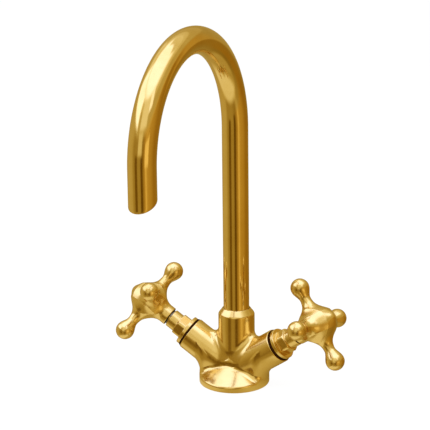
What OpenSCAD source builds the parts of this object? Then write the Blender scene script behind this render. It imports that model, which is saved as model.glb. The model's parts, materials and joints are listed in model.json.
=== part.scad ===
// Two-handle monobloc basin tap with a swivelling gooseneck spout.
// Z is up, X runs through both handles, and the spout reaches towards -Y.
// The origin is the centre of the base, on the deck.

/* [Base] */
// Diameter of the round base
base_d = 52; // [48:0.5:58]
// Height of the straight rim of the base
base_rim_h = 4.5; // [3:0.1:6]
// Radius of the curved shoulder above the rim, seen from the side
shoulder_r = 55; // [45:1:80]
// Height of the shoulder's top
shoulder_z = 15.8; // [14.8:0.1:17]
// Diameter of the shoulder's top, inside the hub
shoulder_top_d = 17.5; // [15:0.5:20]
// Bevel of the edge that meets the deck
base_bevel = 0.6; // [0.2:0.1:1]
// Diameter of the middle of the deck seal
deck_seal_d = 44; // [42.5:0.1:44.5]
// Width of the deck seal
deck_seal_w = 3; // [2:0.1:3.4]
// Thickness of the deck seal
deck_seal_t = 1.2; // [0.8:0.1:2]

/* [Hub] */
// Distance of the hub's axis behind the centre of the base
hub_y = 4.7; // [3:0.1:6]
// Outer diameter of the hub that carries the spout
hub_d = 26.9; // [26:0.1:29]
// Height of the hub's top above the deck
hub_h = 56.7; // [55:0.1:64]
// Height of the sloping collar at the hub's top
hub_slope_h = 4.4; // [3:0.1:5]
// Width of the flat lip round the tube
hub_lip_w = 0.5; // [0.3:0.1:0.8]
// Depth of the pocket that takes the tube's foot
tube_pocket_h = 8; // [7:0.1:9]
// Diameter of the bore that the spigot turns in
hub_bore_d = 16; // [15.6:0.1:16.4]
// Depth of that bore below the hub's top
hub_bore_l = 25.7; // [25:0.1:26.2]
// Diameter of the mixing well below the spigot
well_d = 11; // [9:0.1:12]
// Height of the floor of the mixing well
well_z = 26; // [25.5:0.1:27]

/* [Branches] */
// Slope of each branch above the deck
branch_tilt = 34; // [33:0.5:36]
// Sweep of each branch towards the user
branch_sweep = 4; // [0:0.5:6]
// Distance of the crossing of the branch axes behind the centre of the base
branch_y = 2.4; // [1:0.1:3]
// Height at which the branch axes cross
branch_z = 9.2; // [8.6:0.1:10.5]
// Outer diameter of a branch
branch_d = 25.4; // [24.8:0.1:26]
// Width of the upright foot below each branch
foot_w = 23; // [21:0.5:24.5]
// Diameter across the two feet
foot_d = 51.6; // [50:0.1:51.8]
// Height of the web that fills the valley between the branches
web_z = 19.2; // [18.2:0.1:20]
// Distance of the web's front from the centre of the base
web_front = 9.8; // [9.2:0.1:10]
// Width of the web
web_w = 24; // [22:0.5:26]
// Distance along a branch from the crossing to its mouth
branch_l = 43.3; // [42:0.1:46]
// Bevel at the mouth of a branch
branch_bevel = 0.8; // [0.3:0.1:1]
// Bore of the branch that takes the bonnet's thread
thread_d = 20; // [19.6:0.1:20.4]
// Distance from the crossing to the valve seat
seat_s = 19; // [18.5:0.1:19.5]
// Diameter of the water way into the valve seat
seat_way_d = 6.4; // [5:0.1:7]
// Diameter of the port from a valve to the mixing well
port_d = 4.4; // [3.5:0.1:4.8]
// Height of that port above the deck
port_z = 29.3; // [29:0.1:29.8]

/* [Underside] */
// Diameter of the threaded hose inlets
inlet_d = 9; // [8.6:0.1:9.4]
// Distance from the centre to a hose inlet
inlet_x = 10; // [9.6:0.1:10.6]
// Depth of the thread of a hose inlet
inlet_h = 12; // [10:0.5:12.5]
// Height of the elbow that joins an inlet to the valve seat
elbow_z = 16.5; // [15.5:0.1:17]
// Diameter of the threaded hole for the fixing stud
stud_d = 6.8; // [6.4:0.1:7]
// Distance from the centre to the stud's hole
stud_y = 13; // [12:0.1:13.5]
// Depth of the stud's hole
stud_h = 13; // [10:0.5:13.5]

/* [Spout] */
// Outer diameter of the tube
tube_d = 19.05; // [18.5:0.05:19.5]
// Wall of the tube
tube_wall = 1.2; // [1:0.1:1.4]
// Distance from the column's axis to the outlet's axis
reach = 145; // [120:1:170]
// Height at which the arch begins
arch_z = 192.3; // [150:0.1:240]
// Length of the straight drop from the arch to the cut
drop_h = 21.8; // [16:0.1:30]
// Slant of the cut at the outlet
cut_angle = 28; // [0:1:40]
// Thickness of the wear ring under the tube's foot
wear_ring_t = 1; // [0.8:0.1:1.5]
// Length of the spigot inside the tube
spigot_in_tube = 12; // [8:0.5:20]
// Gap between the spigot's foot and the floor of its bore
spigot_foot_gap = 1; // [0.5:0.1:1.5]
// Bore of the spigot
spigot_bore_d = 10.6; // [9.6:0.1:11]
// Height of the lower spout seal above the spigot's foot
spout_seal_1 = 2.4; // [2:0.1:3]
// Height of the upper spout seal above the spigot's foot
spout_seal_2 = 6.4; // [6:0.1:7]
// Height of the retaining groove above the spigot's foot
groove_up = 12.2; // [11.8:0.1:13]
// Width of the retaining groove
groove_w = 3; // [2.6:0.1:3.4]
// Depth of the retaining groove
groove_depth = 1.2; // [1:0.1:1.4]
// Thickness of the flow straightener
straightener_t = 5; // [3:0.1:8]
// Distance of the straightener above the highest point of the cut
straightener_up = 2; // [1:0.1:6]
// Diameter of each hole in the flow straightener
straightener_hole_d = 1.8; // [1.2:0.1:2]
// Rings of holes round the straightener's middle hole
straightener_rings = 2; // [1:1:2]
// Spacing of the straightener's holes
straightener_pitch = 2.8; // [2.6:0.1:2.9]
// Thickness of the straightener's seal
straightener_seal_t = 1.6; // [1.2:0.1:2]

/* [Screws] */
// Thread diameter of the grub screws
grub_d = 4; // [3:0.1:4.2]
// Diameter of the dog point that enters the retaining groove
grub_point_d = 2.4; // [2:0.1:2.5]
// Depth to which a grub screw sits below the surface round it
grub_sunk = 0.5; // [0.2:0.1:1]
// Width across flats of a grub screw's socket
grub_key = 2; // [1.5:0.1:2.2]
// Depth of a grub screw's socket
grub_key_depth = 1.6; // [1:0.1:1.8]

/* [Bonnet] */
// Thickness of the black seal under the bonnet
bonnet_seal_t = 1.4; // [1:0.1:2]
// Outer diameter of the black seal
bonnet_seal_d = 24.2; // [23.2:0.1:24.6]
// Diameter of the bonnet's flange
flange_d = 23.2; // [22.4:0.1:24]
// Thickness of the bonnet's flange
flange_t = 2.8; // [2:0.1:3.5]
// Width across flats of the bonnet's hexagon
hex_af = 16.2; // [15:0.1:17]
// Height of the bonnet's hexagon
hex_h = 7.1; // [6:0.1:8]
// Diameter of the bonnet's nose
nose_d = 14; // [13:0.1:14.6]
// Height of the bonnet's nose
nose_h = 6.9; // [6:0.1:8]
// Length of the bonnet's thread below its flange
bonnet_thread_l = 10; // [8:0.1:11]
// Outer diameter of the skirt that holds the discs
skirt_d = 17.4; // [17:0.1:17.8]
// Inner diameter of the skirt
skirt_bore_d = 15.2; // [15:0.1:15.4]
// Gap between the skirt's rim and the valve seat
skirt_gap = 1.5; // [1:0.1:2]
// Height of the water windows in the skirt
window_h = 3; // [2.4:0.1:3.2]
// Width of the water windows in the skirt
window_w = 7; // [5:0.1:8]

/* [Valve] */
// Quarter turn from shut to open
valve_turn = 90; // [80:1:95]
// Height of the rubber lip seal
lip_seal_h = 3.5; // [3:0.1:4]
// Bore of the rubber lip seal
lip_seal_bore = 9; // [7:0.1:10]
// Thickness of each ceramic disc
disc_t = 3; // [2.5:0.1:3.2]
// Diameter of each ceramic disc
disc_d = 14.8; // [14.4:0.1:14.9]
// Inner radius of the openings in the discs
opening_r1 = 2; // [1.6:0.1:2.4]
// Outer radius of the openings in the discs
opening_r2 = 6; // [5:0.1:6.4]
// Angle covered by each opening in the discs
opening_angle = 70; // [50:1:80]
// Thickness of the spindle's driving flange
driver_t = 3; // [2.8:0.1:3.4]
// Diameter of the spindle's driving flange
driver_d = 12; // [11:0.1:12.4]
// Diameter of the driving pegs
peg_d = 1.6; // [1.2:0.1:1.8]
// Height of the driving pegs
peg_h = 1.5; // [1:0.1:2]
// Distance of a driving peg from the axis
peg_r = 4.8; // [4.4:0.1:5]
// Angle covered by the lug that stops the spindle
lug_angle = 30; // [20:1:40]
// Play at each end of the spindle's turn, in degrees
stop_play = 1; // [0.5:0.1:2]
// Diameter of the spindle
spindle_d = 9; // [8.4:0.1:9.2]
// Diameter of the spindle's end inside the handle
spindle_end_d = 8; // [7.6:0.1:8.2]
// Length of the spindle's end
spindle_end_l = 12; // [10:0.5:12]
// Depth of the flat under the handle's grub screw
spindle_flat = 0.6; // [0.4:0.1:0.8]
// Distance of that flat from the shoulder of the spindle's end
spindle_flat_at = 1; // [0.5:0.1:2]
// Distance from the flange to the spindle's lower seal
stem_seal_1 = 4; // [3:0.1:4.5]
// Distance from the flange to the spindle's upper seal
stem_seal_2 = 8; // [7:0.1:9]
// Outer diameter of the circlip
circlip_d = 11.4; // [10.6:0.1:12]
// Thickness of the circlip
circlip_t = 0.8; // [0.6:0.1:0.9]
// Depth of the circlip's groove in the spindle
circlip_depth = 0.8; // [0.6:0.1:1]
// Opening of the circlip, in degrees
circlip_gap = 50; // [30:1:80]

/* [Seal rings] */
// Depth of a seal's groove
seal_depth = 1.2; // [1:0.1:1.3]
// Width of a seal's groove
seal_w = 1.9; // [1.7:0.1:2.1]

/* [Handle] */
// Gap between the left bonnet's nose and its handle
left_handle_gap = 1.4; // [1:0.1:3]
// Gap between the right bonnet's nose and its handle
right_handle_gap = 1; // [1:0.1:3]
// Diameter of the handle's collar
collar_d = 14.6; // [13:0.1:15]
// Distance from the left collar's end to the middle of its cross
left_collar_l = 19.6; // [17:0.1:21]
// Distance from the right collar's end to the middle of its cross
right_collar_l = 18.2; // [17:0.1:21]
// Radius of the sweep from the collar into the hub of the cross
collar_sweep_r = 15; // [13:0.5:16]
// Diameter of the hub of the cross
cross_hub_d = 20; // [18:0.1:22]
// Distance from the middle of the cross to the dome's tip
dome_l = 15.8; // [14:0.1:18]
// Radius of the dome's tip
dome_r = 5.2; // [4:0.1:6]
// Distance from the middle of the cross to a ball
arm_l = 29.1; // [27:0.1:33]
// Diameter of a ball
ball_d = 13.8; // [12:0.1:15]
// Diameter of an arm at its neck
neck_d = 8; // [6.5:0.1:8.2]
// Distance from the middle of the cross to the neck
neck_at = 20.4; // [19:0.1:21.5]
// Radius of the sweep from the neck into the hub
arm_sweep_r = 17; // [16:0.5:22]
// Length of that sweep, along the arm
arm_sweep_l = 10.6; // [8:0.1:12]
// Depth of the handle's bore
handle_bore_l = 12.6; // [12.2:0.1:13.2]
// Distance from the collar's end to the handle's grub screw
handle_grub_at = 5.5; // [4:0.1:7]
// Turn of the left cross on its spindle, in degrees
left_cross_turn = 37.5; // [-45:0.5:45]
// Turn of the right cross on its spindle, in degrees
right_cross_turn = 8.5; // [-45:0.5:45]

/* [Fits] */
// Radial clearance of parts that turn in each other
run_gap = 0.06; // [0.03:0.01:0.09]
// Radial clearance of parts that are screwed or pushed together
still_gap = 0.03; // [0.02:0.01:0.05]
// Axial gap between flat faces that slide on each other
face_gap = 0.05; // [0.02:0.01:0.1]
// Clear space kept round parts that move past each other
free_gap = 0.3; // [0.2:0.05:0.4]

/* [Hidden] */
$fn = 96;

brass = "#b98d34";
turned_brass = "#c79b42";
rubber = "#1c1a19";
ceramic = "#ece8de";
plastic = "#d8d8d4";
steel = "#9a9da0";

// A cut runs this far past the face it opens.
past = 1;

// Heights on the hub and spout.
pocket_z = hub_h - tube_pocket_h;
hub_bore_z = hub_h - hub_bore_l;
pocket_d = tube_d + 2 * run_gap;
foot_z = pocket_z + wear_ring_t + 2 * face_gap;
tube_bore_d = tube_d - 2 * tube_wall;
spigot_z = hub_bore_z + spigot_foot_gap;
spigot_d = hub_bore_d - 2 * run_gap;
groove_z = spigot_z + groove_up;
groove_floor_d = spigot_d - 2 * groove_depth;
bend_r = reach / 2;
cut_z = arch_z - drop_h;
cut_rise = tube_d / 2 * tan(cut_angle);
straightener_z = cut_z + cut_rise + straightener_up;
hub_lip_d = pocket_d + 2 * hub_lip_w;

// Places along a branch, measured from the crossing of the axes.
flange_s = branch_l + bonnet_seal_t;
hex_s = flange_s + flange_t;
nose_s = hex_s + hex_h;
nose_end_s = nose_s + nose_h;
thread_s = flange_s - bonnet_thread_l;
skirt_s = seat_s + skirt_gap;
fixed_disc_s = seat_s + face_gap + lip_seal_h;
moving_disc_s = fixed_disc_s + disc_t + face_gap;
driver_s = moving_disc_s + disc_t + face_gap;
shelf_s = driver_s + driver_t + face_gap;
circlip_s = nose_end_s + face_gap;
spindle_end_s = circlip_s + circlip_t + face_gap;
spindle_flat_s = spindle_end_s + spindle_flat_at;
foot_top_z = branch_z + base_d / 2 * tan(branch_tilt);

// The hose inlets stand under the branch axes, and the port ends beside the seat.
elbow_s = inlet_x / cos(branch_tilt) / cos(branch_sweep);
inlet_y = branch_y - inlet_x * tan(branch_sweep);
port_l = seat_s * cos(branch_tilt);

// Sizes of the fits in the valve.
bonnet_thread_d = thread_d - 2 * still_gap;
stem_bore_d = spindle_d + 2 * run_gap;
handle_bore_d = spindle_end_d + 2 * still_gap;
circlip_floor_d = spindle_d - 2 * circlip_depth;
lug_r = skirt_bore_d / 2 - free_gap;
stop_r = driver_d / 2 + free_gap;
stop_angle = 360 - valve_turn - lug_angle - 2 * stop_play;
// The right spindle's lug sweeps from 0 to -valve_turn, and the stop lies opposite.
stop_middle = 180 - valve_turn / 2;
seal_ring_h = seal_w - 2 * face_gap;

// The circle that carries an arm's neck into its ball touches both.
ball_r = ball_d / 2;
neck_r = neck_d / 2;
neck_out = arm_l - neck_at;
neck_ball_r = (neck_out * neck_out + neck_r * neck_r - ball_r * ball_r) / (2 * (ball_r - neck_r));

// An arm starts this far from the middle, inside the hub.
arm_start = 4;

function collar_s(side) = nose_end_s + (side < 0 ? left_handle_gap : right_handle_gap);
function collar_l(side) = side < 0 ? left_collar_l : right_collar_l;

// Points of an arc about a centre, from angle a to angle b.
function arc(c, r, a, b, n = 16) =
    [for (i = [0:n])
        let (t = a + (b - a) * i / n)
        c + r * [cos(t), sin(t)]];

// The right side stands as it is, and the left side is its mirror image.
module on_branch(side) {
    mirror([side < 0 ? 1 : 0, 0, 0])
        translate([0, branch_y, branch_z])
            rotate([0, 90 - branch_tilt, -branch_sweep])
                children();
}

// The spout and the hub that carries it stand on this axis.
module on_column() {
    translate([0, hub_y, 0]) children();
}

module disc(z, h, d) {
    translate([0, 0, z]) cylinder(h = h, d = d);
}

module ring(z, h, outer_d, inner_d) {
    difference() {
        disc(z, h, outer_d);
        disc(z - past, h + 2 * past, inner_d);
    }
}

// Part of a ring, centred on angle a.
module ring_sector(z, h, r1, r2, a, span) {
    translate([0, 0, z])
        rotate([0, 0, a - span / 2])
            rotate_extrude(angle = span)
                translate([r1, 0])
                    square([r2 - r1, h]);
}

// A grub screw on the Z axis with its socket at the top.
module grub_screw(z, h) {
    difference() {
        disc(z, h, grub_d - 2 * still_gap);
        translate([0, 0, z + h - grub_key_depth])
            cylinder(h = grub_key_depth + past, d = grub_key / cos(30), $fn = 6);
    }
}

// Body

// Outline of the base: a bevelled rim, then one arc up to the shoulder's top.
function base_outline() =
    let (rim = [base_d / 2, base_rim_h],
        top = [shoulder_top_d / 2, shoulder_z],
        chord = norm(rim - top),
        lean = atan2(top.y - rim.y, rim.x - top.x),
        half = asin(chord / 2 / shoulder_r),
        start = 90 - lean - half,
        centre = rim - shoulder_r * [cos(start), sin(start)])
    concat(
        [[0, 0], [base_d / 2 - base_bevel, 0], [base_d / 2, base_bevel]],
        arc(centre, shoulder_r, start, start + 2 * half, 8),
        [[0, shoulder_z]]);

module base_drum() {
    rotate_extrude() polygon(base_outline());
}

// The casting stands upright below each branch, up to the branch's axis.
module foot(side) {
    intersection() {
        disc(base_rim_h / 2, foot_top_z, foot_d);
        mirror([side < 0 ? 1 : 0, 0, 0])
            translate([0, branch_y, 0])
                rotate([90, 0, -branch_sweep])
                    linear_extrude(height = foot_w, center = true)
                        polygon([[0, 0], [base_d / 2, 0], [base_d / 2, foot_top_z], [0, branch_z]]);
    }
}

// A web fills the valley between the branches in front of the hub.
module web() {
    translate([-web_w / 2, -web_front, base_rim_h])
        cube([web_w, web_front, web_z - base_rim_h]);
}

module hub() {
    disc(branch_z, hub_h - hub_slope_h - branch_z, hub_d);
    translate([0, 0, hub_h - hub_slope_h])
        cylinder(h = hub_slope_h, d1 = hub_d, d2 = hub_lip_d);
}

module branch() {
    cylinder(h = branch_l - branch_bevel, d = branch_d);
    translate([0, 0, branch_l - branch_bevel])
        cylinder(h = branch_bevel, d1 = branch_d, d2 = branch_d - 2 * branch_bevel);
}

// The branches are cut off level with the deck.
module above_deck() {
    intersection() {
        children();
        disc(0, hub_h, 2 * branch_l + 2 * branch_d);
    }
}

module hub_bores() {
    disc(pocket_z, tube_pocket_h + past, pocket_d);
    disc(hub_bore_z, hub_h, hub_bore_d);
    disc(well_z, hub_h, well_d);
    translate([0, 0, groove_z])
        rotate([-90, 0, 0])
            cylinder(h = hub_d, d = grub_d);
}

module branch_bores() {
    disc(seat_s, branch_l, thread_d);
    disc(elbow_s, seat_s, seat_way_d);
}

module underside_bores() {
    for (side = [-1, 1])
        translate([side * inlet_x, inlet_y, 0]) {
            disc(-past, inlet_h + past, inlet_d);
            disc(0, elbow_z, seat_way_d);
        }
    translate([0, stud_y, 0]) disc(-past, stud_h + past, stud_d);
    ring(-past, deck_seal_t + face_gap + past, deck_seal_d + deck_seal_w + 2 * still_gap,
        deck_seal_d - deck_seal_w - 2 * still_gap);
}

module body() {
    color(brass)
        difference() {
            union() {
                base_drum();
                foot(-1);
                foot(1);
                web();
                on_column() hub();
                above_deck()
                    for (side = [-1, 1])
                        on_branch(side) branch();
            }
            on_column() hub_bores();
            underside_bores();
            for (side = [-1, 1]) {
                on_branch(side) branch_bores();
                translate([0, branch_y, port_z])
                    rotate([0, side * 90, 0])
                        cylinder(h = port_l, d = port_d);
            }
        }
}

module base_seal() {
    color(rubber)
        ring(0, deck_seal_t, deck_seal_d + deck_seal_w, deck_seal_d - deck_seal_w);
}

// Spout

// A straight length of the tube's outline that hangs from the arch.
module leg(l, d) {
    translate([0, 0, arch_z])
        mirror([0, 0, 1])
            cylinder(h = l, d = d);
}

// The tube's path from height z up, over the arch and down past the outlet.
module gooseneck(d, z) {
    leg(arch_z - z, d);
    translate([0, -reach, 0]) leg(drop_h + 2 * cut_rise, d);
    translate([0, -bend_r, arch_z])
        rotate([90, 0, 90])
            rotate_extrude(angle = 180)
                translate([bend_r, 0])
                    circle(d = d);
}

module below_cut() {
    translate([0, -reach, cut_z])
        rotate([cut_angle, 0, 0])
            translate([-tube_d, -2 * tube_d, -2 * tube_d])
                cube([2 * tube_d, 4 * tube_d, 2 * tube_d]);
}

module spout_tube() {
    color(brass)
        on_column()
            difference() {
                gooseneck(tube_d, foot_z);
                gooseneck(tube_bore_d, foot_z - past);
                below_cut();
            }
}

module seal_groove(z, shaft_d) {
    ring(z, seal_w, shaft_d + past, shaft_d - 2 * seal_depth);
}

module spout_spigot() {
    color(turned_brass)
        on_column()
            difference() {
                union() {
                    disc(spigot_z, foot_z - spigot_z, spigot_d);
                    disc(foot_z, spigot_in_tube, tube_bore_d - 2 * still_gap);
                }
                disc(spigot_z - past, hub_h, spigot_bore_d);
                seal_groove(spigot_z + spout_seal_1, spigot_d);
                seal_groove(spigot_z + spout_seal_2, spigot_d);
                ring(groove_z - groove_w / 2, groove_w, spigot_d + past, groove_floor_d);
            }
}

// A seal fills its groove and reaches the wall that it seals against.
module groove_seal(z, shaft_d, bore_d) {
    color(rubber)
        ring(z + face_gap, seal_ring_h, bore_d - 2 * still_gap, shaft_d - 2 * seal_depth + 2 * still_gap);
}

module spout_lower_seal() {
    on_column() groove_seal(spigot_z + spout_seal_1, spigot_d, hub_bore_d);
}

module spout_upper_seal() {
    on_column() groove_seal(spigot_z + spout_seal_2, spigot_d, hub_bore_d);
}

module spout_wear_ring() {
    color(plastic)
        on_column()
            ring(pocket_z + face_gap, wear_ring_t, pocket_d - 2 * run_gap, spigot_d + 2 * run_gap);
}

module spout_retaining_screw() {
    point_r = groove_floor_d / 2 + free_gap;
    shank_r = hub_bore_d / 2 + free_gap;
    color(steel)
        translate([0, hub_y, groove_z])
            rotate([-90, 0, 0]) {
                disc(point_r, shank_r - point_r, grub_point_d);
                grub_screw(shank_r, hub_d / 2 - grub_sunk - shank_r);
            }
}

module flow_straightener() {
    color(plastic)
        translate([0, hub_y - reach, straightener_z])
            difference() {
                cylinder(h = straightener_t, d = tube_bore_d - 2 * still_gap);
                disc(-past, straightener_t + 2 * past, straightener_hole_d);
                for (ring_no = [1:straightener_rings])
                    for (i = [0:6 * ring_no - 1])
                        rotate([0, 0, 60 * i / ring_no])
                            translate([ring_no * straightener_pitch, 0, 0])
                                disc(-past, straightener_t + 2 * past, straightener_hole_d);
            }
}

module straightener_seal() {
    color(rubber)
        translate([0, hub_y - reach, 0])
            ring(straightener_z + straightener_t + face_gap, straightener_seal_t,
                tube_bore_d - 2 * still_gap, tube_bore_d - 2 * still_gap - 2 * straightener_seal_t);
}

// Valves

module hexagon(s, h) {
    intersection() {
        translate([0, 0, s]) cylinder(h = h, d = hex_af / cos(30), $fn = 6);
        translate([0, 0, s])
            cylinder(h = h, d1 = hex_af / cos(30) + 2 * h, d2 = hex_af);
    }
}

module bonnet(side) {
    color(turned_brass)
        on_branch(side)
            difference() {
                union() {
                    disc(skirt_s, thread_s - skirt_s, skirt_d);
                    disc(thread_s, bonnet_thread_l, bonnet_thread_d);
                    disc(flange_s, flange_t, flange_d);
                    hexagon(hex_s, hex_h);
                    disc(nose_s, nose_h, nose_d);
                }
                difference() {
                    disc(skirt_s - past, shelf_s - skirt_s + past, skirt_bore_d);
                    ring_sector(driver_s, shelf_s - driver_s + past, stop_r, skirt_d / 2,
                        stop_middle, stop_angle);
                }
                disc(shelf_s - past, nose_end_s, stem_bore_d);
                translate([-skirt_d, -window_w / 2, moving_disc_s])
                    cube([2 * skirt_d, window_w, window_h]);
            }
}

module bonnet_seal(side) {
    color(rubber)
        on_branch(side)
            ring(branch_l, bonnet_seal_t, bonnet_seal_d, thread_d);
}

module spindle(side, cross_turn) {
    color(turned_brass)
        on_branch(side)
            difference() {
                union() {
                    disc(driver_s, driver_t, driver_d);
                    ring_sector(driver_s, driver_t, driver_d / 4, lug_r, 0, lug_angle);
                    for (a = [90, 270])
                        rotate([0, 0, a])
                            translate([peg_r, 0, 0])
                                disc(driver_s - peg_h, peg_h + past, peg_d);
                    disc(driver_s, spindle_end_s - driver_s, spindle_d);
                    disc(spindle_end_s, spindle_end_l, spindle_end_d);
                }
                seal_groove(flange_s + stem_seal_1, spindle_d);
                seal_groove(flange_s + stem_seal_2, spindle_d);
                ring(circlip_s - face_gap, circlip_t + 2 * face_gap, spindle_d + past, circlip_floor_d);
                rotate([0, 0, 45 - cross_turn])
                    translate([spindle_end_d / 2 - spindle_flat, -spindle_end_d, spindle_flat_s])
                        cube([spindle_end_d, 2 * spindle_end_d, spindle_end_l]);
            }
}

module stem_seals(side) {
    on_branch(side)
        for (up = [stem_seal_1, stem_seal_2])
            groove_seal(flange_s + up, spindle_d, stem_bore_d);
}

module circlip(side) {
    color(steel)
        on_branch(side)
            ring_sector(circlip_s, circlip_t, circlip_floor_d / 2 + still_gap, circlip_d / 2,
                90, 360 - circlip_gap);
}

// A ceramic disc whose two openings lie along angle a.
module ceramic_disc(s, a) {
    difference() {
        disc(s, disc_t, disc_d);
        for (half = [0, 180])
            ring_sector(s - past, disc_t + 2 * past, opening_r1, opening_r2, a + half, opening_angle);
    }
}

module moving_disc(side) {
    color(ceramic)
        on_branch(side)
            difference() {
                ceramic_disc(moving_disc_s, 0);
                for (a = [90, 270])
                    rotate([0, 0, a])
                        translate([peg_r, 0, 0])
                            disc(moving_disc_s + disc_t - peg_h, peg_h + past, peg_d + 2 * run_gap);
            }
}

module fixed_disc(side) {
    color(ceramic)
        on_branch(side)
            ceramic_disc(fixed_disc_s, 90);
}

module lip_seal(side) {
    color(rubber)
        on_branch(side)
            ring(seat_s + face_gap, lip_seal_h - face_gap, skirt_bore_d - 2 * still_gap, lip_seal_bore);
}

// Handles

// Outline of the collar, hub and dome, with the middle of the cross at zero.
function hub_outline(side) =
    let (hub_r = cross_hub_d / 2,
        collar_r = collar_d / 2,
        dome_c = dome_l - dome_r,
        slope_z = dome_c + dome_r * sqrt(2) - hub_r,
        sweep_a = acos(1 - (hub_r - collar_r) / collar_sweep_r),
        sweep_z = -collar_sweep_r * sin(sweep_a))
    concat(
        [[0, -collar_l(side)], [collar_r, -collar_l(side)]],
        arc([collar_r + collar_sweep_r, sweep_z], collar_sweep_r, 180, 180 - sweep_a),
        [[hub_r, slope_z]],
        arc([0, dome_c], dome_r, 45, 90));

// Outline of an arm, from inside the hub out to the ball's tip.
function arm_outline() =
    let (root_a = asin(arm_sweep_l / arm_sweep_r),
        ball_a = atan2(neck_r + neck_ball_r, -neck_out))
    concat(
        [[0, arm_start], [neck_r + arm_sweep_r * (1 - cos(root_a)), arm_start]],
        arc([neck_r + arm_sweep_r, neck_at], arm_sweep_r, 180 + root_a, 180),
        arc([neck_r + neck_ball_r, neck_at], neck_ball_r, 180, 270 - ball_a),
        arc([0, arm_l], ball_r, 90 - ball_a, 90));

module cross_handle(side, cross_turn) {
    color(brass)
        on_branch(side)
            difference() {
                translate([0, 0, collar_s(side) + collar_l(side)])
                    rotate([0, 0, -cross_turn]) {
                        rotate_extrude() polygon(hub_outline(side));
                        for (a = [0:90:270])
                            rotate([0, 90, a])
                                rotate_extrude() polygon(arm_outline());
                    }
                disc(collar_s(side) - past, handle_bore_l + past, handle_bore_d);
                at_handle_grub(side, cross_turn) cylinder(h = collar_d, d = grub_d);
            }
}

// The grub screw points between two arms, on the side away from the user.
module at_handle_grub(side, cross_turn) {
    translate([0, 0, collar_s(side) + handle_grub_at])
        rotate([0, 90, 45 - cross_turn])
            children();
}

module handle_screw(side, cross_turn) {
    tip_r = spindle_end_d / 2 - spindle_flat + still_gap;
    color(steel)
        on_branch(side)
            at_handle_grub(side, cross_turn)
                grub_screw(tip_r, collar_d / 2 - grub_sunk - tip_r);
}

body();
base_seal();
spout_tube();
spout_spigot();
spout_lower_seal();
spout_upper_seal();
spout_wear_ring();
spout_retaining_screw();
flow_straightener();
straightener_seal();
bonnet(-1);  // left_bonnet
bonnet_seal(-1);  // left_bonnet_seal
spindle(-1, left_cross_turn);  // left_spindle
stem_seals(-1);  // left_stem_seals
circlip(-1);  // left_circlip
moving_disc(-1);  // left_moving_disc
fixed_disc(-1);  // left_fixed_disc
lip_seal(-1);  // left_lip_seal
cross_handle(-1, left_cross_turn);  // left_cross_handle
handle_screw(-1, left_cross_turn);  // left_handle_screw
bonnet(1);  // right_bonnet
bonnet_seal(1);  // right_bonnet_seal
spindle(1, right_cross_turn);  // right_spindle
stem_seals(1);  // right_stem_seals
circlip(1);  // right_circlip
moving_disc(1);  // right_moving_disc
fixed_disc(1);  // right_fixed_disc
lip_seal(1);  // right_lip_seal
cross_handle(1, right_cross_turn);  // right_cross_handle
handle_screw(1, right_cross_turn);  // right_handle_screw
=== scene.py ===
import json
import math

import bpy
import numpy as np
from mathutils import Matrix, Vector


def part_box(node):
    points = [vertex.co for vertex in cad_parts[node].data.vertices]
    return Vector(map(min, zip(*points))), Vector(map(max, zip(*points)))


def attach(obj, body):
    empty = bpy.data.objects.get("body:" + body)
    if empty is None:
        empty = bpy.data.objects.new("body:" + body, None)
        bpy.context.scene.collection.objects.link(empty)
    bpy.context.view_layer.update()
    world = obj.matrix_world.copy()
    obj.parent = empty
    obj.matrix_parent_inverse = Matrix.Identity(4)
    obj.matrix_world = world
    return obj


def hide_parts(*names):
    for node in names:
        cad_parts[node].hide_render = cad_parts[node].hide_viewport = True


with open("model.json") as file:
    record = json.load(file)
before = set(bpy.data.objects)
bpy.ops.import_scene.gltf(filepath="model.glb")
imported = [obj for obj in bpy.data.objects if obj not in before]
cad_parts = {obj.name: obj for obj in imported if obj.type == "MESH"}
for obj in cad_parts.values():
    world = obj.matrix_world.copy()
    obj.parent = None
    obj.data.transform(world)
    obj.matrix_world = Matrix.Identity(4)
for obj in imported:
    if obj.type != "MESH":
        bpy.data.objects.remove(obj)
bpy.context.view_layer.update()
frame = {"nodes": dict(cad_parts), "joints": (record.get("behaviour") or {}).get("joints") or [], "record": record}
MM = 0.001
MICRON = 0.000001
SIDES = {"left": -1, "right": 1}

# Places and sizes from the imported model, in millimetres.

JOINTS = {j["name"]: j for j in frame["joints"]}


def box_mm(node):
    low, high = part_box(node)
    return np.array(low) * 1000, np.array(high) * 1000


def joint_place(name):
    joint = JOINTS[name]
    axis = np.array(joint["axis"], float)
    return np.array(joint["pos_m"], float) * 1000, axis / np.linalg.norm(axis)


_, body_high = box_mm("body")
tube_low, tube_high = box_mm("spout_tube")
screw_low, screw_high = box_mm("spout_retaining_screw")
column_at, _ = joint_place("spout_swivel")
branch_at, right_axis = joint_place("right_valve_turn")
right_axis = -right_axis
left_axis = right_axis * np.array([-1, 1, 1])
TILT = math.asin(right_axis[2])
SWEEP = math.atan2(-right_axis[1], right_axis[0])
COLUMN_Y = column_at[1]
HUB_TOP = body_high[2]
TUBE_R = (tube_high[0] - tube_low[0]) / 2
TUBE_FOOT = tube_low[2]
REACH = tube_high[1] - tube_low[1] - 2 * TUBE_R
ARCH_Z = tube_high[2] - TUBE_R - REACH / 2
SCREW_Z = (screw_low[2] + screw_high[2]) / 2

# The branch's own axes: X down, Y away from the user, Z outwards. The left side is the mirror image.
AXIS_X = np.array([math.sin(TILT) * math.cos(SWEEP), -math.sin(TILT) * math.sin(SWEEP), -math.cos(TILT)])
AXIS_Y = np.array([math.sin(SWEEP), math.cos(SWEEP), 0.0])
AXIS_Z = right_axis

# How far a cut runs past the face that it opens, and how far joined shapes run into each other.
CUT_PAST = 5.0
OVERLAP = 1.0

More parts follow.
